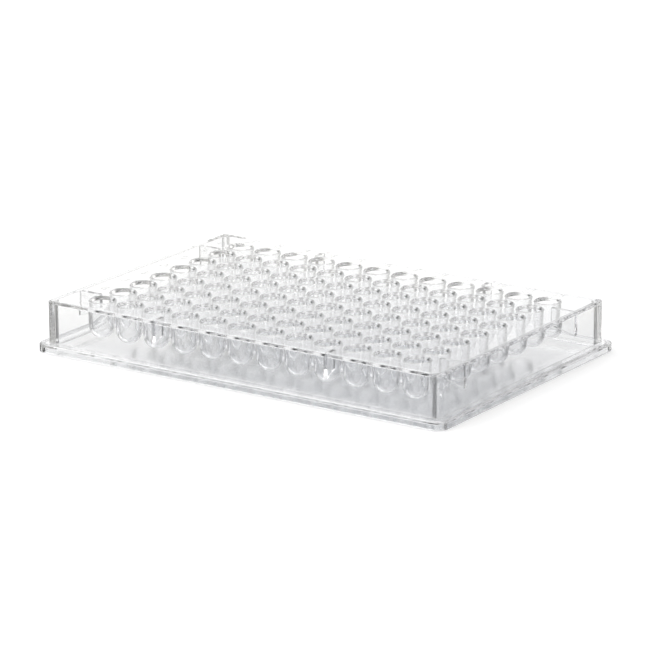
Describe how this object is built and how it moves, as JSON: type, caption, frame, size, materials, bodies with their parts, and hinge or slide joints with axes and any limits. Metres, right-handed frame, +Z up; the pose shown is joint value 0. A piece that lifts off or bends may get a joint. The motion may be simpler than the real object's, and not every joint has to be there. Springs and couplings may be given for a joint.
{
  "type": "well plate",
  "caption": "Clear one-piece well plate: round-bottomed wells hang from a flat deck inside a thin side wall that steps out to a stacking base flange.",
  "frame": {"origin": "centre of the footprint, on the surface that the plate stands on", "axes": "+X along the long side, from column 1 to column 12; +Y along the short side, from row H to row A; +Z up, out of the wells' mouths"},
  "size_m": [0.1278, 0.0854, 0.0139],
  "materials": {
    "clear_plastic": "crystal-clear moulded polystyrene, polished, with a faint cool tint"
  },
  "bodies": {
    "root": {"well_plate": "clear_plastic"}
  },
  "joints": []
}
